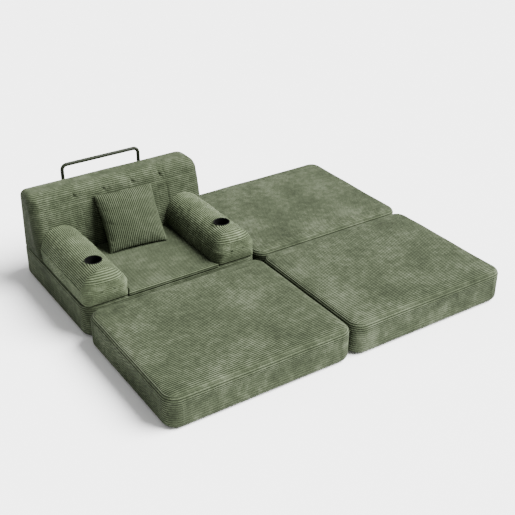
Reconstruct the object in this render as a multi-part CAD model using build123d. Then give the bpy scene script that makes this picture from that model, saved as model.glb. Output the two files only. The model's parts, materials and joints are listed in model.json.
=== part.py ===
"""Chair bed: a low chair, its fold-out front pad and a folding pair of side pads, laid out as a bed.

Millimetres, +Z up, +X to the sitter's left as seen from the front, +Y towards the backrest.
The origin is on the floor, under the middle of the whole bed.
"""

from build123d import *
import math
import os

# Slabs: the chair's base, the front pad, the side pad and the rear pad
chair_width = 1050.0
side_width = 1029.0
slab_depth = 873.0
slab_height = 187.0
slab_corner = 60.0
slab_edge = 38.0
base_edge = 14.0
slab_foot_edge = 14.0
slab_crown = 5.0
slab_draw = 5.0
slab_draw_margin = 6.0
fold_gap = 6.0
column_gap = 6.0

# Covers, their wadding and the foam in them
cover_wall = 3.0
wadding = 8.0
core_clearance = 0.5
rest_gap = 0.3
overrun = 20.0

# Fold webs sewn between two slabs
web_thickness = 2.4
web_height = 18.0

# Hook and loop tapes, flush in a shallow pocket
tape_thickness = 1.5
tape_width = 60.0
tape_pocket_play = 0.3
arm_tape_length = 400.0
back_tape_length = 420.0

# Zips
zip_length = 540.0
zip_height = 22.0
zip_thickness = 1.2
zip_play = 0.3
zip_slider_length = 14.0
zip_slider_height = 9.0
zip_slider_thickness = 1.5
back_zip_rise = 46.0

# Seat cushion between the arms
seat_thickness = 27.0
seat_crown = 7.0
seat_corner = 24.0
seat_edge = 11.0
seat_foot_edge = 3.0
seat_front_inset = 3.0
seat_side_play = 3.0

# Arms
arm_width = 256.0
arm_height = 178.0
arm_side_inset = 9.0
arm_front_inset = 2.0
arm_front_round = 55.0
arm_foot_draw = 8.0
arm_foot_wall = 6.0

# Cup holders, dropped into the arms
cup_bore_radius = 40.0
cup_wall = 2.0
cup_depth = 62.0
cup_rim_radius = 46.0
cup_rim_thickness = 3.0
cup_rim_round = 1.2
cup_floor_round = 6.0
cup_play = 0.4
cup_from_front = 156.0
cup_mound_foot = 60.0
cup_mound_drop = 18.0
cup_mound_rise = 0.5

# Backrest
back_height = 364.0
back_foot_thickness = 262.0
back_face_lean = 13.7
back_rear_lean = 4.1
back_foot_from_rear = 304.0
back_front_round = 60.0
back_rear_round = 30.0
back_top_round = 44.0
back_foot_round = 12.0
back_end_round = 60.0
back_core_end = 36.0

# Tufts on the backrest's face
tuft_count = 4
tuft_pitch = 178.0
tuft_drop = 54.0
tuft_radius = 36.0
tuft_depth = 12.0
tuft_well_radius = 7.0
tuft_well_depth = 1.2
tuft_head_radius = 5.5
tuft_head_thickness = 2.4
tuft_cord_radius = 1.4
tuft_cord_length = 40.0
tuft_hole_play = 0.5

# Back frame: one bent tube
tube_radius = 8.0
tube_wall = 1.5
frame_half_span = 238.0
frame_from_rear = 13.0
frame_top = 599.0
frame_top_bend = 30.0
frame_foot_bend = 60.0
frame_foot_length = 262.0
frame_groove_play = 1.0
plug_head = 4.0
plug_stem = 18.0
plug_play = 0.1

# Throw pillow
pillow_side = 342.0
pillow_thickness = 112.0
pillow_corner = 9.0
pillow_draw = 9.0
pillow_turn = -6.0
pillow_lean = 38.0
pillow_before_back = 165.9
pillow_above_deck = 25.1
pillow_off_middle = -15.0
# Depth and height of the pillow's outlines, as shares of its half side and half thickness
pillow_inset_shares = (0.0, 0.10, 0.32, 0.66)
pillow_rise_shares = (0.0, 0.34, 0.72, 1.0)

# Length of the barrel that draws a side in, as a share of the stretch it draws
barrel_length_share = 1.2

# Where the end sections of the backrest lie, as shares of its end rounding
end_step_shares = (0.0, 0.08, 0.26, 0.55, 1.0)
end_round_share = 0.6

# Places worked out from the sizes above
total_width = chair_width + column_gap + side_width
chair_left = -total_width / 2
chair_mid = chair_left + chair_width / 2
side_mid = total_width / 2 - side_width / 2
base_front = fold_gap / 2
base_mid_y = base_front + slab_depth / 2
deck = slab_height + rest_gap
arm_offset = chair_width / 2 - arm_side_inset - arm_width / 2
arm_front = base_front + arm_front_inset
arm_radius = arm_width / 2
arm_side_height = arm_height - arm_radius
arm_top = deck + arm_height
face_lean = math.radians(back_face_lean)
rear_lean = math.radians(back_rear_lean)
back_foot_y = base_front + slab_depth - back_foot_from_rear
frame_y = base_front + slab_depth - frame_from_rear
frame_foot_z = deck + tube_radius
cup_y = base_front + cup_from_front

# The backrest's front and rear planes, each with z out of the cushion
face_plane = Plane(
    origin=(chair_mid, back_foot_y, deck),
    x_dir=(1, 0, 0),
    z_dir=(0, -math.cos(face_lean), math.sin(face_lean)),
)
rear_plane = Plane(
    origin=(chair_mid, back_foot_y + back_foot_thickness, deck),
    x_dir=(-1, 0, 0),
    z_dir=(0, math.cos(rear_lean), math.sin(rear_lean)),
)


def closed_face(*lines):
    """Face inside lines that meet end to end."""
    edges = ShapeList()
    for line in lines:
        edges += line.edges()
    return Face(Wire(edges))


def block(low, high):
    """Box between two corners."""
    size = [b - a for a, b in zip(low, high)]
    middle = [(a + b) / 2 for a, b in zip(low, high)]
    return Pos(*middle) * Box(*size)


def bow(span, rise, skirt):
    """Long shallow arc over a flat strip."""
    arc = ThreePointArc((-span / 2, 0), (0, rise), (span / 2, 0))
    strip = Polyline((span / 2, 0), (span / 2, -skirt), (-span / 2, -skirt), (-span / 2, 0))
    return closed_face(arc, strip)


def crown_cap(width, depth, corner, rise, skirt):
    """Shallow dome over a rounded rectangle, an arc each way."""
    across = extrude(Plane.XZ * bow(width, rise, skirt), depth, both=True)
    along = extrude(Plane.YZ * bow(depth, rise, skirt), width, both=True)
    outline = extrude(RectangleRounded(width, depth, corner), skirt + rise, both=True)
    return across & along & outline


def padded_slab(width, depth, height, corner, edge, foot, crown):
    """Padded slab on z = 0: rounded outline, rounded edges and a crowned top."""
    flat = height - crown
    body = extrude(RectangleRounded(width, depth, corner), flat)
    body = fillet(body.faces().sort_by(Axis.Z)[-1].edges(), edge)
    body = fillet(body.faces().sort_by(Axis.Z)[0].edges(), foot)
    margin = edge + cover_wall
    cap_corner = corner - margin
    if cap_corner < cover_wall:
        cap_corner = cover_wall
    cap = crown_cap(width - 2 * margin, depth - 2 * margin, cap_corner, crown, cover_wall)
    return body + Pos(0, 0, flat) * cap


def plain_block(width, depth, low, high, corner, bevel):
    """Foam block from z = low to z = high with rounded corners and bevelled edges."""
    body = Pos(0, 0, low) * extrude(RectangleRounded(width, depth, corner), high - low)
    body = chamfer(body.faces().sort_by(Axis.Z)[-1].edges(), bevel)
    return chamfer(body.faces().sort_by(Axis.Z)[0].edges(), bevel)


def slab_foam(width, depth, height, play):
    """Foam of a slab, or with no play the room for it in the cover."""
    inset = wadding + play
    low = cover_wall + play
    high = height - slab_crown - cover_wall - play
    corner = slab_corner - wadding - play
    bevel = slab_edge * 0.7
    return plain_block(width - 2 * inset, depth - 2 * inset, low, high, corner, bevel)


def side_barrel(length, reach, draw, depth):
    """Barrel that dips to a depth into a side of this length; draw and reach set its curve.

    It is longer than the side, so that its ends stand clear of the side's skin.
    """
    around = (reach / 2) ** 2 / (2 * draw) + draw / 2
    low = around - draw
    long = length * barrel_length_share
    lift = depth - draw * barrel_length_share ** 2
    arc = ThreePointArc((-long / 2, lift), (0, depth), (long / 2, lift))
    frame = Polyline((long / 2, lift), (long / 2, -low), (-long / 2, -low), (-long / 2, lift))
    return revolve(closed_face(arc, frame), Axis((0, -low, 0), (1, 0, 0)))


# Turn about z that brings the inside of each side to the +Y of a barrel, and its place shares
side_turns = {"front": 0.0, "rear": 180.0, "left": -90.0, "right": 90.0}
side_place_shares = {"front": (0, -0.5), "rear": (0, 0.5), "left": (-0.5, 0), "right": (0.5, 0)}


def on_side(shape, side, width, depth, height):
    """Shape moved from the origin to the middle of a side of a slab."""
    across, along = side_place_shares[side]
    middle = (slab_foot_edge + height - slab_crown - slab_edge) / 2
    return Pos(across * width, along * depth, middle) * Rot(0, 0, side_turns[side]) * shape


def drawn_side(side, width, depth, height, short_of=0.0):
    """Barrel for one side of a slab, or a shallower one that stops short of its skin."""
    length = (width if side in ("front", "rear") else depth) - 2 * (slab_corner + slab_draw_margin)
    reach = height - slab_crown - slab_edge - slab_foot_edge - 2 * slab_draw_margin
    barrel = side_barrel(length, reach, slab_draw, slab_draw - short_of)
    return on_side(barrel, side, width, depth, height)


def slab_zip(side, width, depth, height):
    """Zip tape that follows a drawn-in side, with its slider near one end."""
    near = drawn_side(side, width, depth, height, zip_play)
    far = drawn_side(side, width, depth, height, zip_play + zip_thickness)
    window = on_side(Box(zip_length, overrun, zip_height), side, width, depth, height)
    tape = (near - far) & window
    outer = drawn_side(side, width, depth, height, zip_play + zip_thickness + zip_slider_thickness)
    slider_box = Pos(zip_length / 4, 0, 0) * Box(zip_slider_length, overrun, zip_slider_height)
    slider = (near - outer) & on_side(slider_box, side, width, depth, height)
    return tape + slider


def slab_parts(name, place, width, drawn, zip_side):
    """Cover, foam and zip of one slab standing at a place."""
    cover = padded_slab(
        width, slab_depth, slab_height, slab_corner, slab_edge, slab_foot_edge, slab_crown
    )
    for side in drawn:
        cover -= drawn_side(side, width, slab_depth, slab_height)
    cover -= slab_foam(width, slab_depth, slab_height, 0.0)
    parts = {
        name + "_cover": place * cover,
        name + "_core": place * slab_foam(width, slab_depth, slab_height, core_clearance),
        name + "_zip": place * slab_zip(zip_side, width, slab_depth, slab_height),
    }
    return parts


def fold_web(middle_x, width, toward):
    """Half of a fold web, flat against the slab on the +Y or -Y side of the fold."""
    length = width - 2 * slab_corner
    near = fold_gap / 2 - rest_gap
    ys = sorted((toward * near, toward * (near - web_thickness)))
    high = slab_height - slab_crown - slab_edge
    return block(
        (middle_x - length / 2, ys[0], high - web_height), (middle_x + length / 2, ys[1], high)
    )


def flat_tape(x, y, width, depth, low, play=0.0):
    """Tape lying flat with its lower face at z = low, or with play its pocket."""
    return Pos(x, y, low + tape_thickness / 2) * Box(
        width + 2 * play, depth + 2 * play, tape_thickness
    )


def tape_places():
    """Middle, width and depth of the tapes under the arms and the backrest."""
    arm_y = arm_front + arm_front_round + arm_tape_length / 2
    back_y = back_foot_y + back_foot_round + tape_width
    return [
        (chair_mid - arm_offset, arm_y, tape_width, arm_tape_length),
        (chair_mid + arm_offset, arm_y, tape_width, arm_tape_length),
        (chair_mid, back_y, back_tape_length, tape_width),
    ]


def base_parts():
    """Chair base slab with the loop tapes let into its flat top."""
    place = Pos(chair_mid, base_mid_y, 0)
    width = chair_width
    cover = extrude(RectangleRounded(width, slab_depth, slab_corner), slab_height)
    cover = fillet(cover.faces().sort_by(Axis.Z)[-1].edges(), base_edge)
    cover = fillet(cover.faces().sort_by(Axis.Z)[0].edges(), slab_foot_edge)
    for side in ("left", "right", "rear"):
        cover -= drawn_side(side, width, slab_depth, slab_height)
    cover -= slab_foam(width, slab_depth, slab_height, 0.0)
    cover = place * cover
    tapes = []
    for x, y, across, along in tape_places():
        low = slab_height - tape_thickness
        cover -= flat_tape(x, y, across, along, low, tape_pocket_play)
        tapes.append(flat_tape(x, y, across, along, low))
    return {
        "base_cover": cover,
        "base_core": place * slab_foam(width, slab_depth, slab_height, core_clearance),
        "base_zip": place * slab_zip("rear", width, slab_depth, slab_height),
        "base_loop_tapes": Compound(children=tapes),
    }


def seat_parts():
    """Seat cushion between the arms, in front of the backrest."""
    width = 2 * (arm_offset - arm_radius - seat_side_play)
    front = base_front + seat_front_inset
    depth = back_foot_y - rest_gap - front
    place = Pos(chair_mid, front + depth / 2, deck)
    form = padded_slab(
        width, depth, seat_thickness, seat_corner, seat_edge, seat_foot_edge, seat_crown
    )
    foam = []
    for play in (0.0, core_clearance):
        inset = 2 * cover_wall + play
        high = seat_thickness - seat_crown - cover_wall / 2 - play
        low = cover_wall / 2 + play
        corner = seat_corner - inset
        foam.append(plain_block(width - 2 * inset, depth - 2 * inset, low, high, corner, seat_edge / 2))
    return {
        "seat_cushion_cover": place * (form - foam[0]),
        "seat_cushion_core": place * foam[1],
    }


def arm_section(inset, foot):
    """Arm outline in x and z: flat foot, sides drawn in to it, round top."""
    half = arm_radius - inset
    turn = half * math.sqrt(0.5)
    side = arm_side_height
    right = TangentArc((half, side), (half - arm_foot_draw, foot), tangent=(0, -1))
    bottom = Line((half - arm_foot_draw, foot), (arm_foot_draw - half, foot))
    left = TangentArc((-half, side), (arm_foot_draw - half, foot), tangent=(0, -1))
    top_left = ThreePointArc((-half, side), (-turn, side + turn), (0, side + half))
    top_right = ThreePointArc((0, side + half), (turn, side + turn), (half, side))
    return closed_face(right, bottom, left, top_left, top_right)


def arm_body(inset, foot, rounding, rounded):
    """Arm from its front to the backrest's face, with the front edge rounded or bevelled."""
    length = back_foot_y - arm_front + back_height
    body = extrude(Plane.XZ * arm_section(inset, foot), length, dir=(0, 1, 0))
    body = Pos(0, arm_front + inset, deck) * body
    front = body.faces().sort_by(Axis.Y)[0]
    edges = front.edges().sort_by(Axis.Z)[1:]
    body = fillet(edges, rounding) if rounded else chamfer(edges, rounding)
    behind = Plane(origin=(0, back_foot_y, deck), x_dir=(1, 0, 0), z_dir=face_plane.z_dir)
    reach = 4 * back_height
    wedge = behind.location * Pos(0, 0, inset + rest_gap - reach / 2) * Box(reach, reach, reach)
    return body - wedge


def cup_mound():
    """Low mound of fabric under the cup holder's rim."""
    low = arm_top - cup_mound_drop
    high = arm_top + cup_mound_rise
    mound = Cone(cup_mound_foot, cup_rim_radius, high - low)
    return Pos(0, cup_y, (low + high) / 2) * mound


def cup_holder():
    """Round cup with a flat rim, opening upwards."""
    outer = cup_bore_radius + cup_wall
    rim_low = arm_top + cup_mound_rise + rest_gap
    rim_high = rim_low + cup_rim_thickness
    floor = rim_high - cup_depth
    rim = Pos(0, cup_y, (rim_low + rim_high) / 2) * Cylinder(cup_rim_radius, cup_rim_thickness)
    rim = fillet(rim.faces().sort_by(Axis.Z)[-1].edges(), cup_rim_round)
    shell_height = rim_low - floor + cup_wall
    shell = Pos(0, cup_y, floor - cup_wall + shell_height / 2) * Cylinder(outer, shell_height)
    shell = fillet(shell.faces().sort_by(Axis.Z)[0].edges(), cup_floor_round)
    bore_height = cup_depth + overrun
    bore = Pos(0, cup_y, floor + bore_height / 2) * Cylinder(cup_bore_radius, bore_height)
    return rim + shell - bore


def cup_pocket(play):
    """Room for the cup in the arm."""
    outer = cup_bore_radius + cup_wall + play
    low = arm_top + cup_mound_rise + cup_rim_thickness - cup_depth - cup_wall - play
    high = arm_top + overrun
    return Pos(0, cup_y, (low + high) / 2) * Cylinder(outer, high - low)


def arm_parts(name, offset):
    """One arm: cover, foam, cup holder and hook tape."""
    place = Pos(chair_mid + offset, 0, 0)
    cover = arm_body(0.0, 0.0, arm_front_round, True) + cup_mound()
    bevel = arm_front_round * 0.7
    cover -= arm_body(wadding, arm_foot_wall, bevel, False)
    cover -= cup_pocket(cup_play)
    core = arm_body(wadding + core_clearance, arm_foot_wall + core_clearance, bevel, False)
    core -= cup_pocket(cup_play + core_clearance)
    tape_y, across, along = tape_places()[0][1:]
    cover -= flat_tape(0, tape_y, across, along, deck, tape_pocket_play)
    return {
        name + "_arm_cover": place * cover,
        name + "_arm_core": place * core,
        name + "_cup_holder": place * cup_holder(),
        name + "_arm_hook_tape": place * flat_tape(0, tape_y, across, along, deck),
    }


def rounded_face(points, radii):
    """Face of a polygon whose corners are rounded, each by its own radius."""
    count = len(points)
    tips = [Vector(*point) for point in points]
    lines = []
    starts = []
    ends = []
    for number, (tip, radius) in enumerate(zip(tips, radii)):
        before = (tips[number - 1] - tip).normalized()
        after = (tips[(number + 1) % count] - tip).normalized()
        half_angle = math.acos(before.dot(after)) / 2
        start = tip + before * (radius / math.tan(half_angle))
        end = tip + after * (radius / math.tan(half_angle))
        inward = (before + after).normalized()
        middle = tip + inward * (radius / math.sin(half_angle) - radius)
        starts.append(start)
        ends.append(end)
        lines.append(ThreePointArc(start, middle, end))
    for number in range(count):
        lines.append(Line(ends[number - 1], starts[number]))
    order = []
    for number in range(count):
        order += [lines[count + number], lines[number]]
    return closed_face(*order)


def back_section(x, inset, fall=0.0):
    """Side outline of the backrest at x; fall draws it in near the ends."""
    slope_front = math.tan(face_lean)
    slope_rear = math.tan(rear_lean)
    low = back_foot_round * fall + inset
    high = back_height - back_top_round * fall - inset
    front = back_front_round * fall + inset / math.cos(face_lean)
    rear = back_foot_thickness - back_rear_round * fall - inset / math.cos(rear_lean)
    points = [
        (front + slope_front * low, low),
        (rear - slope_rear * low, low),
        (rear - slope_rear * high, high),
        (front + slope_front * high, high),
    ]
    shrink = (1 - end_round_share * fall) * (1 - inset / back_front_round)
    radii = [back_foot_round, back_foot_round, back_rear_round * shrink, back_front_round * shrink]
    face = rounded_face(points, radii)
    return Plane(origin=(x, back_foot_y, deck), x_dir=(0, 1, 0), z_dir=(1, 0, 0)) * face


def back_form():
    """Backrest cushion: a long middle and two rounded ends."""
    half = chair_width / 2
    left = []
    right = []
    for share in end_step_shares:
        fall = 1 - math.sqrt(1 - (1 - share) ** 2)
        left.append(back_section(chair_mid - half + back_end_round * share, 0.0, fall))
        right.append(back_section(chair_mid + half - back_end_round * share, 0.0, fall))
    middle = extrude(left[-1], chair_width - 2 * back_end_round)
    return loft(left) + middle + loft(right[::-1])


def back_foam(play):
    """Foam of the backrest, or with no play the room for it."""
    inset = wadding + play
    start = chair_mid - chair_width / 2 + back_core_end + play
    body = extrude(back_section(start, inset), chair_width - 2 * (back_core_end + play))
    for groove in frame_grooves(cover_wall + play):
        body -= groove
    return body


def frame_grooves(play):
    """Grooves in the backrest's foot for the two feet of the frame, taller where the tube bends up."""
    reach = tube_radius + frame_groove_play + play
    front = frame_y - frame_foot_length - frame_groove_play - plug_head - play
    bend_start = frame_y - frame_foot_bend
    inner_bend = frame_foot_bend - reach
    past_bend = back_foot_y + back_foot_thickness - bend_start
    rise = frame_foot_bend - math.sqrt(inner_bend ** 2 - past_bend ** 2)
    grooves = []
    for side in (-1, 1):
        x = chair_mid + side * frame_half_span
        low = (x - reach, front, deck - overrun)
        high = (x + reach, frame_y, frame_foot_z + reach)
        tall = (x + reach, frame_y, frame_foot_z + rise)
        grooves.append(block(low, high) + block((low[0], bend_start, low[2]), tall))
    return grooves


def tuft_planes():
    """Planes on the backrest's face at the tufts, each with z out of the cushion."""
    along = (back_height - tuft_drop) / math.cos(face_lean)
    first = -(tuft_count - 1) / 2 * tuft_pitch
    planes = []
    for number in range(tuft_count):
        spot = face_plane * Pos(first + number * tuft_pitch, along, 0)
        planes.append(Plane(spot))
    return planes


def tuft_dimple(grow=0.0):
    """Dimple that a tuft pulls into the face, with a flat well at its bottom."""
    ball = (tuft_radius ** 2 + tuft_depth ** 2) / (2 * tuft_depth)
    low = -tuft_depth - tuft_well_depth - grow
    well_height = tuft_well_depth + tuft_depth / 2 + grow
    well = Pos(0, 0, low + well_height / 2) * Cylinder(tuft_well_radius + grow, well_height)
    return Pos(0, 0, ball - tuft_depth) * Sphere(ball + grow) + well


def tuft_tie():
    """Covered tuft head on a cord that runs into the foam."""
    floor = -tuft_depth - tuft_well_depth + rest_gap
    head = Pos(0, 0, floor + tuft_head_thickness / 2) * Cylinder(tuft_head_radius, tuft_head_thickness)
    cord = Pos(0, 0, floor - tuft_cord_length / 2) * Cylinder(tuft_cord_radius, tuft_cord_length)
    return head + cord


def tuft_hole():
    """Hole for a tuft's cord."""
    reach = tuft_cord_length + tuft_depth
    radius = tuft_cord_radius + tuft_hole_play
    low = -tuft_depth - tuft_cord_length - overrun / 2
    return Pos(0, 0, low + reach / 2) * Cylinder(radius, reach)


def back_parts():
    """Backrest: cover, foam, tufts, hook tape and zip."""
    cover = back_form()
    for groove in frame_grooves(0.0):
        cover -= groove
    core = back_foam(core_clearance)
    dimple = tuft_dimple()
    lining = tuft_dimple(cover_wall)
    hollow = tuft_dimple(cover_wall + core_clearance)
    hole = tuft_hole()
    ties = []
    room = back_foam(0.0)
    for plane in tuft_planes():
        room -= plane.location * lining
        core -= plane.location * hollow
        core -= plane.location * hole
        cover -= plane.location * dimple
        ties.append(plane.location * tuft_tie())
    cover -= room
    for plane in tuft_planes():
        cover -= plane.location * hole
    x, y, across, along = tape_places()[2]
    cover -= flat_tape(x, y, across, along, deck, tape_pocket_play)
    tape = Box(zip_length, zip_height, zip_thickness)
    pocket = Box(zip_length + 2 * zip_play, zip_height + 2 * zip_play, zip_thickness)
    zip_spot = rear_plane.location * Pos(0, back_zip_rise, -zip_thickness / 2)
    cover -= zip_spot * pocket
    slider = Pos(zip_length / 4, 0, zip_slider_thickness / 2) * Box(
        zip_slider_length, zip_slider_height, zip_thickness + zip_slider_thickness
    )
    return {
        "backrest_cover": cover,
        "backrest_core": core,
        "backrest_hook_tape": flat_tape(x, y, across, along, deck),
        "backrest_zip": zip_spot * (tape + slider),
        "tuft_ties": Compound(children=ties),
    }


def frame_path():
    """Middle line of the tube: foot, leg, top bar, leg, foot."""
    left = chair_mid - frame_half_span
    right = chair_mid + frame_half_span
    front = frame_y - frame_foot_length
    points = [
        (left, front, frame_foot_z),
        (left, frame_y, frame_foot_z),
        (left, frame_y, frame_top),
        (right, frame_y, frame_top),
        (right, frame_y, frame_foot_z),
        (right, front, frame_foot_z),
    ]
    bends = [frame_foot_bend, frame_top_bend, frame_top_bend, frame_foot_bend]
    return FilletPolyline(*points, radius=bends)


def frame_parts():
    """Back frame of one bent tube, and the plugs in its two open ends."""
    path = frame_path()
    start = Plane(origin=path @ 0, z_dir=path % 0)
    ring = Circle(tube_radius) - Circle(tube_radius - tube_wall)
    tube = sweep(start * ring, path=path)
    plugs = []
    for side in (-1, 1):
        x = chair_mid + side * frame_half_span
        end = Plane(
            origin=(x, frame_y - frame_foot_length, frame_foot_z), x_dir=(1, 0, 0), z_dir=(0, -1, 0)
        )
        head = Pos(0, 0, plug_head / 2) * Cylinder(tube_radius, plug_head)
        head = fillet(head.faces().sort_by(Axis.Z)[-1].edges(), plug_head / 2)
        stem_radius = tube_radius - tube_wall - plug_play
        stem = Pos(0, 0, -plug_stem / 2) * Cylinder(stem_radius, plug_stem)
        plugs.append(end.location * (head + stem))
    return {"back_frame": tube, "frame_end_plugs": Compound(children=plugs)}


def pillow_outline(half, draw, rise):
    """Square outline with sides drawn in by an arc and small round corners."""
    corner = pillow_corner
    lines = []
    turns = [(1, 0), (0, 1), (-1, 0), (0, -1)]
    for cos, sin in turns:

        def turned(x, y):
            return (x * cos - y * sin, x * sin + y * cos)

        side = ThreePointArc(
            turned(half, corner - half), turned(half - draw, 0), turned(half, half - corner)
        )
        bend = corner * (1 - math.sqrt(0.5))
        tip = ThreePointArc(
            turned(half, half - corner), turned(half - bend, half - bend), turned(half - corner, half)
        )
        lines += [side, tip]
    return Pos(0, 0, rise) * closed_face(*lines)


def pillow_form(side, thickness, ruled=False):
    """Pillow lying flat round the origin: thin at its seam and full in the middle."""
    half = side / 2
    sections = []
    for inset_share, rise_share in zip(pillow_inset_shares, pillow_rise_shares):
        draw = pillow_draw * (1 - inset_share * 2)
        sections.append(pillow_outline(half * (1 - inset_share), draw, thickness / 2 * rise_share))
    upper = loft(sections, ruled=ruled)
    return upper + mirror(upper, Plane.XY)


def pillow_parts():
    """Throw pillow leaning on the backrest."""
    foot_y = back_foot_y - pillow_before_back
    stand = Pos(chair_mid + pillow_off_middle, foot_y, deck + pillow_above_deck)
    tip = Rot(0, 0, pillow_turn) * Rot(90 - pillow_lean, 0, 0)
    place = stand * tip * Pos(0, pillow_side / 2, 0)
    cover = pillow_form(pillow_side, pillow_thickness)
    room_side = pillow_side - 4 * wadding
    room_thickness = pillow_thickness - 2 * cover_wall - wadding
    room = pillow_form(room_side, room_thickness, ruled=True)
    shrink = 2 * core_clearance
    filling = pillow_form(room_side - shrink, room_thickness - shrink, ruled=True)
    return {"pillow_cover": place * (cover - room), "pillow_filling": place * filling}


def all_parts():
    """Every piece of the chair bed under its node name."""
    parts = base_parts()
    parts.update(seat_parts())
    front = Pos(chair_mid, -base_mid_y, 0)
    parts.update(slab_parts("front_pad", front, chair_width, ("left", "right", "front"), "right"))
    side = Pos(side_mid, -base_mid_y, 0)
    side_pad = slab_parts("side_pad", side, side_width, ("left", "right", "front"), "left")
    parts.update(side_pad)
    for node, shape in side_pad.items():
        parts[node.replace("side_pad", "rear_pad")] = mirror(shape, Plane.XZ)
    parts["front_hinge_web_base"] = fold_web(chair_mid, chair_width, 1)
    parts["front_hinge_web_pad"] = fold_web(chair_mid, chair_width, -1)
    parts["side_hinge_web_rear"] = fold_web(side_mid, side_width, 1)
    parts["side_hinge_web_front"] = fold_web(side_mid, side_width, -1)
    parts.update(arm_parts("left", -arm_offset))
    parts.update(arm_parts("right", arm_offset))
    parts.update(back_parts())
    parts.update(frame_parts())
    parts.update(pillow_parts())
    return parts


os.makedirs("parts", exist_ok=True)
for node, shape in all_parts().items():
    export_step(shape, "parts/" + node + ".step")
    box = shape.bounding_box()
    print(node, len(shape.solids()), round(shape.volume), box.min, box.max)
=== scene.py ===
"""Looks of the chair bed: corduroy slabs, arms, backrest and pillow, cup holders and back frame.

Metres, +Z up, in the frame of the CAD part. Every piece stands in the space of its CAD solid.
"""

import json
import logging
import math
from dataclasses import dataclass
from enum import Enum
from functools import cache
from typing import Callable, Optional, Sequence

import bpy
import numpy as np
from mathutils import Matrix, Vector

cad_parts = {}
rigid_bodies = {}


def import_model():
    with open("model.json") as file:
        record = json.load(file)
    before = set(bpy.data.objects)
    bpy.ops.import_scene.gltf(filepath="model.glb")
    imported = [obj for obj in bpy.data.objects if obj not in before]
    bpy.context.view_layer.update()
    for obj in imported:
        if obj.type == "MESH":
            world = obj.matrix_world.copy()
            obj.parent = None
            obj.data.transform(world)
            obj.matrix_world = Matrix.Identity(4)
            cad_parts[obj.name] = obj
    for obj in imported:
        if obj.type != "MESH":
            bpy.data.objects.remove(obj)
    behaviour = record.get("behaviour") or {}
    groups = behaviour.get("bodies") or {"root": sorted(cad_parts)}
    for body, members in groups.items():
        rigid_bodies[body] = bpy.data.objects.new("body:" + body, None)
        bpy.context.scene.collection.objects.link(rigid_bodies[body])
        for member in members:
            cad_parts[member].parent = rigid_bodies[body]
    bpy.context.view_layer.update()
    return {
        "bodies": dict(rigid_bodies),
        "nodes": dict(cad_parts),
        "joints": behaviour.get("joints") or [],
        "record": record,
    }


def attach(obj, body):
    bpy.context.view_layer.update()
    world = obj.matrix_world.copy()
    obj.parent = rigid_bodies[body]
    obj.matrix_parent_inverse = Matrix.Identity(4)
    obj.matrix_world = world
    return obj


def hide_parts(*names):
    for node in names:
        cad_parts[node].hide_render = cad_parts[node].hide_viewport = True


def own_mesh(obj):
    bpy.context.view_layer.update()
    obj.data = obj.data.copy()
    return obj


LOG = logging.getLogger("chair_bed")
Array = np.ndarray
Piece = bpy.types.Object

# Sizes shared by the pieces, in metres
SLAB_HEIGHT = 0.187
SLAB_DEPTH = 0.873
CHAIR_WIDTH = 1.050
SIDE_WIDTH = 1.029
HALF_GAP = 0.003
CHAIR_MID = -0.5175
SIDE_MID = 0.528
DECK = 0.1873
# Lean of the backrest's face, its foot on the deck, and the arms with their cups
FACE_LEAN = math.tan(math.radians(13.7))
BACK_FOOT = 0.572
ARM_REACH = 0.388
CUP_Y = 0.159
CUP_RIM = 0.046
# Pitch of the ribs, and on the tops and sides, where the cloth is pulled over the slabs
RIB = 0.0107
TOP_RIB = 0.0122
SIDE_RIB = 0.0125
# A distance that lies clear of every seam
AWAY = 0.5
# Height that the ribs have on average, to which faint ribs even out
MEAN_WAVE = 0.58
# Smallest spacing of a lattice on a rounded edge, and the share of a radius that its fine rows cover
FINE = 0.003
COVER = 1.02
# Divisor that stops a margin just short of half a size
SHORT_OF_HALF = 2.05
# Lengths that count as none
HAIR = 1e-6
TINY = 1e-9


def plug(tree: bpy.types.NodeTree, slot: bpy.types.NodeSocket, value: "Link | float | tuple") -> None:
    """Links a socket to a value, or sets it to a number, or to a colour without its alpha."""
    if isinstance(value, Link):
        tree.links.new(value.socket, slot)
    else:
        slot.default_value = (*value, 1.0) if isinstance(value, tuple) else value


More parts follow.
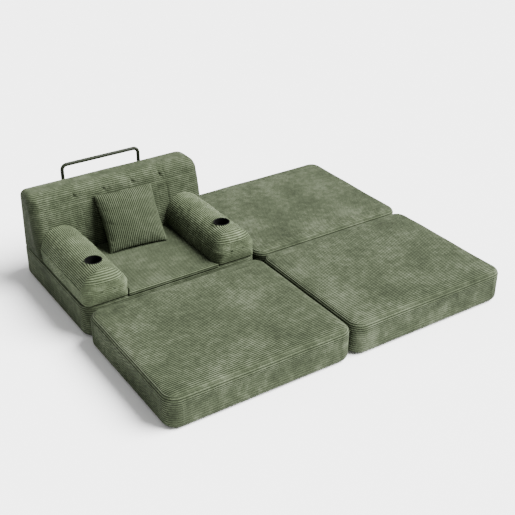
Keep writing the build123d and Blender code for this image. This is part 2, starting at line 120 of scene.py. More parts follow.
class Link:
    """A socket of a material's node tree with the arithmetic that the recipes use."""

    def __init__(self, tree: bpy.types.NodeTree, socket: bpy.types.NodeSocket) -> None:
        """Keeps the tree and the output socket."""
        self.tree = tree
        self.socket = socket

    def _math(self, operation: str, *values: "Link | float") -> "Link":
        """Adds a Math node.

        Args:
            operation: The Math node's operation.
            values: Links or numbers for its sockets, in order.

        Returns:
            The node's value.
        """
        node = self.tree.nodes.new("ShaderNodeMath")
        node.operation = operation
        for slot, value in zip(node.inputs, values):
            plug(self.tree, slot, value)
        return Link(self.tree, node.outputs[0])

    def __add__(self, other: "Link | float") -> "Link":
        """Sum."""
        return self._math("ADD", self, other)

    def __radd__(self, other: float) -> "Link":
        """Sum with a number on the left."""
        return self._math("ADD", other, self)

    def __sub__(self, other: "Link | float") -> "Link":
        """Difference."""
        return self._math("SUBTRACT", self, other)

    def __rsub__(self, other: float) -> "Link":
        """Difference from a number on the left."""
        return self._math("SUBTRACT", other, self)

    def __mul__(self, other: "Link | float") -> "Link":
        """Product."""
        return self._math("MULTIPLY", self, other)

    def __rmul__(self, other: float) -> "Link":
        """Product with a number on the left."""
        return self._math("MULTIPLY", other, self)

    def __abs__(self) -> "Link":
        """Size without sign."""
        return self._math("ABSOLUTE", self)

    def cos(self) -> "Link":
        """Cosine of an angle in radians."""
        return self._math("COSINE", self)

    def above(self, edge: float, soft: float) -> "Link":
        """Smooth step from 0 below edge - soft to 1 above edge + soft."""
        node = self.tree.nodes.new("ShaderNodeMapRange")
        node.interpolation_type = "SMOOTHSTEP"
        self.tree.links.new(self.socket, node.inputs["Value"])
        node.inputs["From Min"].default_value = edge - soft
        node.inputs["From Max"].default_value = edge + soft
        return Link(self.tree, node.outputs["Result"])


class Recipe:
    """A material's node tree while it is put together."""

    def __init__(self, name: str) -> None:
        """Makes an empty material with a Principled shader.

        Args:
            name: The material's name.
        """
        self.material = bpy.data.materials.new(name)
        self.material.use_nodes = True
        self.tree = self.material.node_tree
        self.tree.nodes.clear()
        self.shader = self.tree.nodes.new("ShaderNodeBsdfPrincipled")
        output = self.tree.nodes.new("ShaderNodeOutputMaterial")
        self.tree.links.new(self.shader.outputs[0], output.inputs[0])

    def node(self, kind: str, output: str | int = 0, **values: "Link | float") -> Link:
        """Adds any node.

        Args:
            kind: The node's type.
            output: The socket to return.
            values: Numbers or links by socket name.

        Returns:
            The chosen output.
        """
        node = self.tree.nodes.new(kind)
        for key, value in values.items():
            plug(self.tree, node.inputs[key], value)
        return Link(self.tree, node.outputs[output])

    def noise(self, scale: float, detail: float = 3.0) -> Link:
        """Cloudy noise over the object's own coordinates.

        Args:
            scale: Patches per metre.
            detail: Octaves.

        Returns:
            The noise from 0 to 1.
        """
        spot = self.node("ShaderNodeTexCoord", "Object")
        return self.node("ShaderNodeTexNoise", "Fac", Vector=spot, Scale=scale, Detail=detail)

    def mix(self, share: Link, low: "Link | tuple", high: "Link | tuple") -> Link:
        """Mixes two colours by a share from 0 to 1."""
        node = self.tree.nodes.new("ShaderNodeMix")
        node.data_type = "RGBA"
        colours = [slot for slot in node.inputs if slot.type == "RGBA"]
        for slot, value in zip((node.inputs[0], *colours), (share, low, high)):
            plug(self.tree, slot, value)
        return Link(self.tree, next(slot for slot in node.outputs if slot.type == "RGBA"))

    def split(self, name: str) -> tuple[Link, Link]:
        """The two numbers of one of the piece's UV maps."""
        uv = self.tree.nodes.new("ShaderNodeUVMap")
        uv.uv_map = name
        parts = self.tree.nodes.new("ShaderNodeSeparateXYZ")
        self.tree.links.new(uv.outputs[0], parts.inputs[0])
        return Link(self.tree, parts.outputs[0]), Link(self.tree, parts.outputs[1])

    def clamped(self, value: Link) -> Link:
        """A value held between 0 and 1."""
        return self.node("ShaderNodeClamp", Value=value)

    def bump(self, height: Link, depth: float) -> None:
        """Feeds a height through a Bump node into the shader's normal."""
        self.feed("Normal", self.node("ShaderNodeBump", Height=height, Distance=depth, Strength=1.0))

    def feed(self, name: str, value: "Link | float | tuple") -> None:
        """Sets or links one of the shader's sockets."""
        plug(self.tree, self.shader.inputs[name], value)


class Side(Enum):
    """The two sides of the chair; the value is the sign of x from its middle."""

    LEFT = -1
    RIGHT = 1

    @property
    def label(self) -> str:
        """The side's name as the CAD nodes start with it."""
        return self.name.lower()


@dataclass(frozen=True)
class Corduroy:
    """Chenille corduroy: soft ribs with dark grooves, mottled pile and faint fuzz.

    Each padded form carries the three UV maps that weave_maps makes.

    Attributes:
        name: The material's name.
        pile, groove, bright: Colours of the crests, the grooves and the brushed light patches; bright also
            paints the highlight on a sewn line's cord.
        piping: How much the cord of a sewn line stands out, in its bump and in a painted highlight.
        waver: How far the ribs stray from straight, as a share of their pitch.
        relief: Depth of the bump in metres.
        mottle: Strength of the brushed patches.
        lift: Brightness of all its colours, a painted light level: the same cloth is painted lighter on
            the arms and darker on the backrest and pillow.
        sunk: How deep and how dark the painted shade beside a sewn line is; where a piece gives a weight
            without a line, that whole area gets the painted shade.
    """

    name: str
    pile: tuple = (0.0500, 0.0625, 0.0350)
    groove: tuple = (0.0060, 0.0080, 0.0038)
    bright: tuple = (0.0940, 0.1105, 0.0710)
    piping: float = 0.0
    waver: float = 0.06
    relief: float = 0.0030
    mottle: float = 1.0
    lift: float = 1.0
    sunk: float = 0.45

    def ribs(self, across: Link) -> Link:
        """Height of the ribs, 1 on a crest and 0 in a groove: a cosine with steeper flanks."""
        return ((across * (2 * math.pi)).cos() * 0.5 + 0.5).above(0.47, 0.37)

    def tinted(self, colour: tuple) -> tuple:
        """One of the cloth's colours scaled by its lift, the painted light level of this piece."""
        return tuple(self.lift * part for part in colour)

    @cache
    def material(self) -> bpy.types.Material:
        """The material, built when it is first asked for."""
        recipe = Recipe(self.name)
        first, second = recipe.split("Weave")
        past, clear = recipe.split("Border")
        line, painted_shade_weight = recipe.split("Crease")
        sway = (recipe.noise(9.0, 2.0) - 0.5) * self.waver
        other = past.above(0.0, 0.0006)
        wave = self.ribs(first + sway) * (1 - other) + self.ribs(second + sway) * other
        height = (wave - MEAN_WAVE) * clear + MEAN_WAVE
        # Noises from the fuzz on the pile up to the clouds in which it is brushed
        fuzz = recipe.noise(620.0, 2.0)
        tufts = recipe.noise(190.0, 3.0)
        patches = recipe.noise(26.0, 4.0)
        clouds = recipe.noise(4.5, 5.0)
        tone = (patches - 0.5) * 2.3 + (clouds - 0.5) * 3.0 + (tufts - 0.5) * 1.4 + 0.04
        tone = tone * self.mottle
        shade = height * 0.90 + (tufts - 0.5) * 0.5 + 0.06
        # Every colour is scaled by the lift, the painted light level of this piece
        dark, light = self.tinted(self.groove), self.tinted(self.bright)
        base = recipe.mix(recipe.clamped(shade), dark, self.tinted(self.pile))
        base = recipe.mix(recipe.clamped(tone * height), base, light)
        base = recipe.mix(recipe.clamped(tone * -0.6), base, dark)
        # A sewn line: painted shade in a furrow about 5 mm to either side and a painted highlight on a
        # cord about 2.6 mm; a weight given without a line lays the painted shade over a whole area
        painted_shade_mask = (1 - abs(line).above(0.0052, 0.0030)) * painted_shade_weight
        cord = (1 - abs(line).above(0.0026, 0.0014)) * (painted_shade_weight * self.piping)
        base = recipe.mix(painted_shade_mask * self.sunk, base, dark)
        base = recipe.mix(cord * 0.75, base, light)
        recipe.feed("Base Color", base)
        recipe.feed("Roughness", 0.96 - 0.10 * patches)
        recipe.feed("Specular IOR Level", 0.08)
        recipe.feed("Sheen Weight", 0.018)
        recipe.feed("Sheen Roughness", 0.45)
        recipe.feed("Sheen Tint", (0.82, 0.92, 0.68))
        relief = height * 0.62 + tufts * 0.30 + fuzz * 0.10 + patches * 0.25
        relief = relief - painted_shade_mask * (1.5 * self.sunk) + cord * 0.9
        recipe.bump(relief, self.relief)
        return recipe.material


@dataclass(frozen=True)
class Moulded:
    """Moulded, coated or woven plain finish with a fine grain, slight wear in its gloss and smears of a
    second colour: wear on most finishes, a painted olive highlight on the frame's coat.
    """

    name: str
    colour: tuple
    rough: float
    grain: float = 900.0
    depth: float = 0.00008
    shine: float = 0.5
    worn: tuple = (0.10, 0.10, 0.09)

    @cache
    def material(self) -> bpy.types.Material:
        """The material, built when it is first asked for."""
        recipe = Recipe(self.name)
        grain = recipe.noise(self.grain, 2.0)
        smear = recipe.noise(24.0, 4.0)
        # Smears of the second colour: wear, and on the frame's coat a painted highlight
        recipe.feed("Base Color", recipe.mix(smear.above(0.62, 0.12) * 0.35, self.colour, self.worn))
        recipe.feed("Roughness", self.rough + (smear - 0.5) * 0.25)
        recipe.feed("Specular IOR Level", self.shine)
        recipe.bump(grain, self.depth)
        return recipe.material


def zoned(low: float, high: float, zones: Sequence[tuple[float, float, float]], coarse: float) -> Array:
    """Places along one side of a lattice.

    Args:
        low: The first place.
        high: The last place.
        zones: Zones of a start, an end and a finer spacing.
        coarse: Spacing between the zones.

    Returns:
        The places in order, each run divided evenly.
    """
    places = [low]
    for start, end, spacing in (*sorted(zones), (high, high, coarse)):
        for stop, step in ((start, coarse), (min(end, high), spacing)):
            if stop > places[-1] + HAIR:
                count = max(1, round((stop - places[-1]) / step))
                places.extend(np.linspace(places[-1], stop, count + 1)[1:])
    return np.array(places)


def grid_quads(grid: Array) -> Array:
    """Quads between the rows and columns of a grid of point numbers."""
    return np.stack([grid[:-1, :-1], grid[1:, :-1], grid[1:, 1:], grid[:-1, 1:]], -1).reshape(-1, 4)


def ring_quads(index: Array) -> Array:
    """Quads between rows of point numbers, each row closed in a ring."""
    after = np.roll(index, -1, axis=1)
    return np.stack([index[:-1], after[:-1], after[1:], index[1:]], -1).reshape(-1, 4)


def box_lattice(p: Array, q: Array, h: Array) -> tuple[Array, Array]:
    """Closed quad surface of a box lattice.

    Args:
        p: Places along the first side.
        q: Places along the second side.
        h: Places along the third side.

    Returns:
        The points of the surface as rows of p, q and h, and its quads, facing outwards.
    """
    a, b, c = len(p), len(q), len(h)
    index = np.arange(a * b * c).reshape(a, b, c)
    quads = []
    for grid, flip in (
        (index[:, :, -1], False), (index[:, :, 0], True),
        (index[:, 0, :], False), (index[:, -1, :], True),
        (index[0, :, :], True), (index[-1, :, :], False),
    ):
        cells = grid_quads(grid)
        quads.append(cells[:, ::-1] if flip else cells)
    faces = np.concatenate(quads)
    used, packed = np.unique(faces, return_inverse=True)
    i, j, k = np.unravel_index(used, (a, b, c))
    return np.stack([p[i], q[j], h[k]], 1), packed.reshape(-1, 4)


def new_mesh(name: str, points: Array, faces: list, maps: Optional[dict] = None,
             smooth: bool = True) -> Piece:
    """Object from points, faces and UV values given per point.

    Args:
        name: The piece's name.
        points: Rows of x, y and z.
        faces: Lists of point numbers.
        maps: UV maps by name, two numbers per point.
        smooth: Whether it is smooth shaded.

    Returns:
        The new object, linked to the scene.
    """
    mesh = bpy.data.meshes.new(name)
    mesh.from_pydata(points.tolist(), [], faces)
    corners = np.zeros(len(mesh.loops), np.int32)
    mesh.loops.foreach_get("vertex_index", corners)
    for key, values in (maps or {}).items():
        layer = mesh.uv_layers.new(name=key)
        layer.uv.foreach_set("vector", values[corners].astype(np.float32).ravel())
    mesh.polygons.foreach_set("use_smooth", np.full(len(mesh.polygons), smooth))
    mesh.update()
    piece = bpy.data.objects.new(name, mesh)
    bpy.context.scene.collection.objects.link(piece)
    return piece


def declare(piece: Piece, finish: "Corduroy | Moulded", nodes: Sequence[str],
            body: str) -> Piece:
    """Dresses a piece, hides the CAD nodes that it stands for and hangs it on its body.

    Args:
        piece: The finished mesh object.
        finish: Its finish.
        nodes: The CAD nodes that it replaces.
        body: The body that carries it.

    Returns:
        The same object.
    """
    piece.data.materials.append(finish.material())
    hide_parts(*nodes)
    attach(piece, body)
    return piece


def ramp(x: Array, start: float | Array, length: float) -> Array:
    """Smooth step from 0 at the start to 1 a length further on."""
    x = np.clip((x - start) / length, 0, 1)
    return x * x * (3 - 2 * x)


def arch(x: Array) -> Array:
    """Parabola that is 1 at 0 and stays 0 from 1 on."""
    return np.clip(1 - x ** 2, 0, 1)


def most(least: float, *shares: Array) -> Array:
    """The largest of several shares at each point, from the least value up to 1."""
    return np.clip(np.max(shares, axis=0), least, 1)


def lengths(across: Array, up: Array) -> Array:
    """Length of each pair, 1 where there is none, to divide by."""
    reach = np.hypot(across, up)
    reach[reach == 0] = 1
    return reach


@dataclass
class PaddedForm:
    """Padded box form: an outline with rounded corners and a rounded front and back edge.

    The outline lies in p and q and is centred; h runs from the back face at 0 to the front face.
    Radii may differ between the outline's low side, at minus q, and the rest. With a swell the
    face rises steeply over that length inside a line that lies brink from the outline.

    Attributes:
        width, height, depth: Sizes along p, q and h.
        corner, left_corner, low_corner: Radii of the corners at the high side's two ends and below.
        edge, low_edge: Radii between the face and the sides, and between the face and the low side.
        back_edge, low_back_edge: The same at the back face.
        draw: How far the sides are drawn in halfway.
        crown: Height to which the face is crowned.
        front_corner: What the low corners' radius grows by towards the face.
        spacing: Spacing of the lattice along p, q and h.
        zones_p, zones_q, zones_h: Zones of a start, an end and a finer spacing.
    """

    width: float
    height: float
    depth: float
    corner: float
    left_corner: float
    low_corner: float
    edge: float
    low_edge: float
    back_edge: float
    low_back_edge: float
    draw: float
    crown: float
    front_corner: float = 0.0
    swell: float = 0.0
    brink: float = 0.0
    spacing: tuple = (0.022, 0.022, 0.015)
    zones_p: tuple = ()
    zones_q: tuple = ()
    zones_h: tuple = ()

    def lattice(self) -> tuple[Array, Array]:
        """The box lattice with finer rows near the rounded edges and in the form's own zones."""
        half_p, half_q = self.width / 2, self.height / 2
        fine, low_fine = max(self.edge / 8, FINE), max(self.low_edge / 8, FINE)
        margin = min(max(self.corner, self.edge) * COVER, self.width / SHORT_OF_HALF,
                     self.height / SHORT_OF_HALF)
        low = max(self.low_corner, self.low_edge) * COVER
        ends_p = ((-half_p, margin - half_p, fine), (half_p - margin, half_p, fine))
        ends_q = ((-half_q, low - half_q, low_fine), (half_q - margin, half_q, fine))
        ends_h = ((0, self.back_edge * COVER, self.back_edge / 4),
                  (self.depth - self.edge * COVER, self.depth, fine))
        return box_lattice(
            zoned(-half_p, half_p, ends_p + self.zones_p, self.spacing[0]),
            zoned(-half_q, half_q, ends_q + self.zones_q, self.spacing[1]),
            zoned(0, self.depth, ends_h + self.zones_h, self.spacing[2]),
        )

    def shape(self) -> tuple[Array, Array, dict[str, Array]]:
        """Maps the lattice to the padded form.

        The edge between face and side becomes an arc: a point on the square corner zone moves to
        the circle of the edge radius along the line from its centre. The outline's corners are
        rounded in the same way ring by ring. The face is crowned by the product of two parabolas
        and the sides are drawn in by another.

        Returns:
            Points in p, q and h; quads; and by name, for each point, the way past the face's
            edge, the way round the outline, the direction of the outline, the excess of the way
            over the flat distance, whether it is on the side, and the way past the back's edge.
        """
        flat, faces = self.lattice()
        p, q, h = flat.T
        half_p, half_q = self.width / 2, self.height / 2
        room_p, room_q = half_p - np.abs(p), half_q - np.abs(q)
        inset = np.minimum(room_p, room_q)
        # The low side's radii pass into the others over 50 mm at its ends
        low = np.where(q < 0, ramp((room_p - room_q) / 0.05, -0.5, 1), 0.0)
        edge = self.edge + (self.low_edge - self.edge) * low
        back = self.back_edge + (self.low_back_edge - self.back_edge) * low
        moved, height, angle = inset.copy(), h.copy(), np.zeros(len(p))
        front = (inset < edge) & (h > self.depth - edge)
        across, up = edge - inset, h - (self.depth - edge)
        reach = lengths(across, up)
        moved[front] = (edge - across * edge / reach)[front]
        height[front] = (self.depth - edge + up * edge / reach)[front]
        angle[front] = np.arctan2(across, up)[front]
        rear = (inset < back) & (h < back)
        across, up = back - inset, back - h
        reach = lengths(across, up)
        moved[rear] = (back - across * back / reach)[rear]
        height[rear] = (back - up * back / reach)[rear]
        on_face = (h > self.depth - TINY) & ~front
        side = (inset < TINY) & ~front
        bottom = (h < TINY) & (inset > TINY)
        way = edge * angle
        way[on_face] = (edge - inset)[on_face]
        way[side] = (edge * math.pi / 2 + (self.depth - edge) - h)[side]
        way[bottom] = (edge * math.pi / 2 + self.depth - edge + inset)[bottom]
        # The sides are drawn in, most in their middle
        middle, span = (back + self.depth - edge) / 2, (self.depth - edge - back) / 2
        along_p = arch(p / (half_p - self.corner * 0.5))
        along_q = arch(q / (half_q - self.corner * 0.5))
        pull = np.where(room_q <= room_p, along_p, along_q)
        changed = side | front | rear
        moved = moved + self.draw * arch((h - middle) / span) * pull * changed
        p = p * np.where(changed, (half_p - moved) / (half_p - inset), 1)
        q = q * np.where(changed, (half_q - moved) / (half_q - inset), 1)
        p, q, phi = self.rounded(p, q, h, moved)
        dome = arch(p / half_p) * arch(q / half_q)
        if self.swell > 0:
            room_p = np.clip(half_p - np.abs(p) - self.brink, 0, None) / self.swell
            room_q = np.clip(half_q - np.abs(q) - self.brink, 0, None) / self.swell
            dome = 0.3 * dome + 0.7 * (1 - np.exp(-room_p)) * (1 - np.exp(-room_q))
        height = height + self.crown * dome * (on_face | front)
        angle[side] = math.pi / 2
        return np.stack([p, q, height], 1), faces, {
            "way": way, "around": self.way_round(p, q, phi), "phi": phi,
            "excess": np.clip(way - edge * np.sin(angle), 0, None) * (way > 0),
            "side": side.astype(float), "behind": np.where(bottom, inset, -h),
        }

    def rounded(self, p: Array, q: Array, h: Array, moved: Array) -> tuple[Array, Array, Array]:
        """Rounds the outline's corners.

        Args:
            p: Places along the width.
            q: Places along the height.
            h: Places along the depth, before the edges were rounded.
            moved: How far inside the outline each point lies.

        Returns:
            The new places along width and height, and the direction of the outline.
        """
        # The low corners' radius changes over the last 75 mm before the face
        ahead = ramp(h - self.depth, -0.075, 0.075)
        low_corner = self.low_corner + self.front_corner * ahead
        high_corner = np.where(p < 0, self.left_corner, self.corner)
        radius = np.clip(np.where(q < 0, low_corner, high_corner) - moved, 0, None)
        start_p, start_q = self.width / 2 - moved - radius, self.height / 2 - moved - radius
        in_p, in_q = np.abs(p) - start_p, np.abs(q) - start_q
        turned = (in_p > 0) & (in_q > 0) & (radius > TINY)
        scale = np.maximum(in_p, in_q) / lengths(in_p, in_q)
        phi = np.where(turned, np.arctan2(in_p, in_q), np.where(in_p > in_q, math.pi / 2, 0.0))
        new_p = np.where(turned, np.sign(p) * (start_p + in_p * scale), p)
        new_q = np.where(turned, np.sign(q) * (start_q + in_q * scale), q)
        return new_p, new_q, phi

    def way_round(self, p: Array, q: Array, phi: Array) -> Array:
        """Way along the outline from the middle of its high side, the same on left and right."""
        half_p, half_q = self.width / 2, self.height / 2
        above = (q > 0) & (phi < math.pi / 2 - HAIR) & (np.abs(p) < half_p)
        straight = half_p - self.corner
        high = np.where(phi <= HAIR, np.abs(p), straight + self.corner * phi)
        side = straight + self.corner * math.pi / 2 + (half_q - self.corner - q)
        return np.where(above, high, side)


def weave_maps(first: Array, second: Array, past: Array | float, clear: Array | float, line: Array | float,
               painted_shade_weight: Array | float) -> dict[str, Array]:
    """The three UV maps that the cloth reads; a single number stands for all points.

    Args:
        first: Number of the rib in the first panel.
        second: Number of the rib in the second panel.
        past: Way past the line at which the second panel starts.
        clear: How clear the ribs are.
        line: Way past a sewn line.
        painted_shade_weight: Weight of the painted shade beside that line and of the painted highlight on
            its cord; without a line, of painted shade over an area.

    Returns:
        The maps by name.
    """
    rows = np.stack(np.broadcast_arrays(first, second, past, clear, line, painted_shade_weight), 1)
    return {"Weave": rows[:, :2], "Border": rows[:, 2:4], "Crease": rows[:, 4:]}


def lumps(points: Array, seed: int, size: float, height: float) -> Array:
    """Soft unevenness: a few waves in seeded directions, the same on every run.

    Args:
        points: Rows of x, y and z.
        seed: Start of the random numbers.
        size: Typical distance between lumps.
        height: Typical height.

    Returns:
        The height at each point.
    """
    chance = np.random.default_rng(seed)
    total = np.zeros(len(points))
    for _ in range(9):
        direction = chance.normal(size=3)
        direction /= np.linalg.norm(direction)
        length = size * chance.uniform(0.6, 1.7)
        total += np.sin(points @ direction * (2 * math.pi / length) + chance.uniform(0, 2 * math.pi))
    return total * (height / 3)


@dataclass
class Settling:
    """Cloth simulation that lets a sewn cover settle over its filling.

    Attributes:
        cap: The longest move that is kept, in metres.
        pressure: Pressure of the filling.
        slack: Share by which the cloth is larger than it lies.
        stiffness: Stiffness of the cloth when it is pulled.
        frames: Length of the simulation.
    """

    cap: float
    pressure: float = 4.0
    slack: float = 0.012
    stiffness: float = 12.0
    frames: int = 20

    def run(self, piece: Piece, held: Array) -> None:
        """Simulates the cover, then keeps moves up to the cap and leaves no simulation behind.

        Args:
            piece: The finished mesh.
            held: Share from 0 to 1 by which each point stays where it is.
        """
        scene = bpy.context.scene
        group = piece.vertex_groups.new(name="Held")
        for level in np.unique(np.round(held, 1)):
            rows = np.nonzero(np.round(held, 1) == level)[0]
            group.add(rows.tolist(), float(level), "REPLACE")
        change = piece.modifiers.new("Settling", "CLOTH")
        cloth = change.settings
        cloth.quality = 6
        cloth.mass = 0.25
        cloth.tension_stiffness = self.stiffness
        cloth.compression_stiffness = self.stiffness
        cloth.shear_stiffness = self.stiffness / 2
        cloth.bending_stiffness = 0.4
        cloth.air_damping = 2.0
        cloth.use_pressure = True
        cloth.uniform_pressure_force = self.pressure
        cloth.shrink_min = -self.slack
        cloth.shrink_max = -self.slack
        cloth.vertex_group_mass = "Held"
        cloth.effector_weights.gravity = 0.0
        change.collision_settings.use_collision = False
        change.collision_settings.use_self_collision = False
        change.point_cache.frame_start = 1
        change.point_cache.frame_end = self.frames
        before = points_of(piece.data)
        for frame in range(1, self.frames + 1):
            scene.frame_set(frame)
        view = bpy.context.evaluated_depsgraph_get()
        after = points_of(piece.evaluated_get(view).data)
        piece.modifiers.remove(change)
        piece.vertex_groups.remove(group)
        scene.frame_set(1)
        move = after - before
        length = np.linalg.norm(move, axis=1)
        soft = self.cap * np.tanh(length / self.cap) / np.maximum(length, TINY)
        moved = before + move * soft[:, None]
        piece.data.vertices.foreach_set("co", moved.astype(np.float32).ravel())
        piece.data.update()
        LOG.info("%s settled by up to %.1f mm", piece.name, 1000 * (length * soft).max())


def points_of(mesh: bpy.types.Mesh) -> Array:
    """Points of a mesh as rows of x, y and z."""
    flat = np.zeros(len(mesh.vertices) * 3, np.float32)
    mesh.vertices.foreach_get("co", flat)
    return flat.reshape(-1, 3).astype(float)


@dataclass
class Cushion:
    """One padded fabric piece placed in the CAD frame; it stands for the cover and core of its name.

    Attributes:
        name, body: The piece's name and the body that carries it.
        form, finish: Its shape and its cloth.
        place: Takes the form's points into the CAD frame.
        weave: Gives the UV maps from the form's points, the placed points and the form's values.
        settling, held: Its cloth simulation, and the share by which each point is held in that.
    """

    name: str
    body: str
    form: PaddedForm
    finish: Corduroy
    place: Callable[[Array], Array]
    weave: Callable[[Array, Array, dict], dict[str, Array]]
    settling: Optional[Settling] = None
    held: Optional[Callable[[Array, dict], Array]] = None

    def build(self) -> Piece:
        local, faces, values = self.form.shape()
        world = self.place(local)
        piece = new_mesh(self.name, world, faces.tolist(), self.weave(local, world, values))
        if self.settling:
            self.settling.run(piece, self.held(local, values))
        declare(piece, self.finish, (f"{self.name}_cover", f"{self.name}_core"), self.body)
        LOG.info("%s: %d faces", self.name, len(faces))
        return piece


# The lift paints the same corduroy lighter on the arms and darker on the backrest and pillow: painted
# light
SLAB_CLOTH = Corduroy("slab_corduroy", piping=0.75, sunk=0.10)
SEAT_CLOTH = Corduroy("seat_corduroy", mottle=0.7)
ARM_CLOTH = Corduroy("arm_corduroy", mottle=0.75, lift=1.66)
# Its strong darkening lays painted shade over the backrest's ends
BACK_CLOTH = Corduroy("backrest_corduroy", mottle=0.85, lift=0.96, relief=0.0022, sunk=0.85)
PILLOW_CLOTH = Corduroy("pillow_corduroy", waver=0.12, mottle=0.5, lift=0.95)
BLACK_PLASTIC = Moulded("cup_plastic", (0.0016, 0.0017, 0.0015), 0.5, shine=0.08, worn=(0.003,) * 3)
# Its lighter olive smear colour is a painted highlight of the tube, spread in random smears
TUBE_COAT = Moulded("frame_coat", (0.0075, 0.0100, 0.0045), 0.5, shine=0.10, worn=(0.018, 0.024, 0.011))
PLUG_PLASTIC = Moulded("plug_plastic", (0.006, 0.006, 0.006), 0.5, shine=0.3, worn=(0.02, 0.02, 0.02))
TAPE_CLOTH = Moulded("tape_loops", (0.02, 0.02, 0.02), 0.95, 1400.0, 0.0006)
ZIP_PLASTIC = Moulded("zip_coil", (0.035, 0.04, 0.028), 0.55, 700.0, 0.0005)
WEB_CLOTH = Moulded("fold_web", (0.10, 0.12, 0.07), 0.9, 800.0, 0.0005)
THREAD = Moulded("tuft_thread", (0.03, 0.035, 0.02), 0.9, 1500.0, 0.0004)
FOAM = Moulded("foam", (0.70, 0.66, 0.50), 0.95, 500.0, 0.0006)
# Finishes of the CAD nodes that stay in view, by a part of their names; the others are foam
NODE_FINISHES = (("_tape", TAPE_CLOTH), ("_zip", ZIP_PLASTIC), ("hinge_web", WEB_CLOTH),
                 ("frame_end_plugs", PLUG_PLASTIC), ("tuft_ties", THREAD))


@dataclass
class Slab:
    """One of the four floor slabs.

    Attributes:
        name: Name of the piece and of its body.
        middle, width: Place of its middle on the floor, and its size along x.
        seed: Start of the random numbers of its unevenness.
        fold, keep: The joint that presses it flat, and the share of its thickness that is left, which is
            not used.
        crown, puff: Height of the crown, and what the crowned face rises above the slab's height.
        edge, seam: Radius of the top edge, and how far round it the seam lies.
    """

    name: str
    middle: tuple
    width: float
    seed: int
    fold: str = ""
    keep: float = 1.0
    crown: float = 0.010
    puff: float = 0.007
    edge: float = 0.028
    seam: float = 0.0135

    def cushion(self) -> Cushion:
        """The slab as a padded form lying on the floor, crowned face up."""
        height = SLAB_HEIGHT + self.puff - self.crown
        brink = self.edge * (1 - math.sin(self.seam / self.edge))
        form = PaddedForm(self.width, SLAB_DEPTH, height, corner=0.075, left_corner=0.075,
                          low_corner=0.075, edge=self.edge, low_edge=self.edge, back_edge=0.034,
                          low_back_edge=0.034, draw=0.0065, crown=self.crown, swell=0.030, brink=brink)

        def place(local: Array) -> Array:
            inner = ramp(form.depth - local[:, 2], -0.012, 0.012)
            top = np.clip(local[:, 2] / form.depth, 0, 1) ** 3 * inner
            rise = lumps(local, self.seed, 0.30, 0.0011) * top * (self.crown > 0)
            risen = local + np.stack([0 * rise, 0 * rise, rise], 1)
            # The form's low side looks at the fold in the middle of its column
            return risen * [1, math.copysign(1, self.middle[1]), 1] + [*self.middle, 0]

        def weave(local: Array, world: Array, values: dict) -> dict[str, Array]:
            q, past = local[:, 1], values["way"] - self.seam
            along = q + np.sign(q) * values["excess"] * np.cos(values["phi"])
            # The ribs fade down the long sides, and they are calmer on the turn of their top edge
            turned = ramp(values["phi"], 0.6, 0.6)
            low = 0.45 + 0.45 * turned
            faded = ramp(values["way"], 0.044, 0.034)
            calm = 1 - 0.50 * (1 - turned) * np.exp(-(((values["way"] - 0.012) / 0.018) ** 2))
            clear = np.where(past > 0, 1 - (1 - low) * faded, 1.0) * calm
            # On the left and right sides the seam gets painted shade beside it and a painted highlight on
            # its cord
            return weave_maps(along / TOP_RIB, values["way"] / SIDE_RIB, past, clear, past, turned)

        def held(local: Array, values: dict) -> Array:
            sewn = 1 - ramp(np.abs(values["way"] - self.seam), 0.006, 0.030)
            low = 1 - ramp(local[:, 2], 0.01, 0.05)
            return most(0.35, sewn, low)

        # The base is pressed flat under the chair, so it has no crown and doesn't settle
        settling = Settling(0.005, pressure=2.0, slack=0.004, frames=12) if self.crown > 0 else None
        return Cushion(self.name, self.name, form, SLAB_CLOTH, place, weave, settling, held)

    def build(self) -> Piece:
        """Makes the slab; where it has a fold, it gets a mesh of its own."""
        piece = self.cushion().build()
        if self.fold:
            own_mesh(piece)
        return piece


@dataclass
class Seat:
    """Seat cushion between the arms, wider by its bulge at its two front corners."""

    width: float = 0.514
    depth: float = 0.5687
    front: float = 0.003
    bulge: float = 0.018

    def cushion(self) -> Cushion:
        """The seat as a thin padded form on the base."""
        form = PaddedForm(self.width, self.depth, 0.020, corner=0.007, left_corner=0.007,
                          low_corner=0.007, edge=0.011, low_edge=0.011, back_edge=0.003,
                          low_back_edge=0.003, draw=0.0005, crown=0.007, spacing=(0.012, 0.012, 0.004))

        def place(local: Array) -> Array:
            ahead = 1 - ramp(local[:, 1], -self.depth / 2, 0.045)
            bulge = self.bulge * ahead * (local[:, 0] / self.width * 2) ** 7
            wider = local + np.stack([bulge, 0 * bulge, 0 * bulge], 1)
            return wider + [CHAIR_MID, self.front + self.depth / 2, DECK]

        def weave(local: Array, world: Array, values: dict) -> dict[str, Array]:
            along = local[:, 1] + np.sign(local[:, 1]) * values["excess"] * np.cos(values["phi"])
            past = values["way"] - 0.020
            # A painted shade lies beside the seat's seam at half weight
            return weave_maps(along / TOP_RIB, along / TOP_RIB, past, 0.9, past, 0.5)

        return Cushion("seat_cushion", "base", form, SEAT_CLOTH, place, weave)


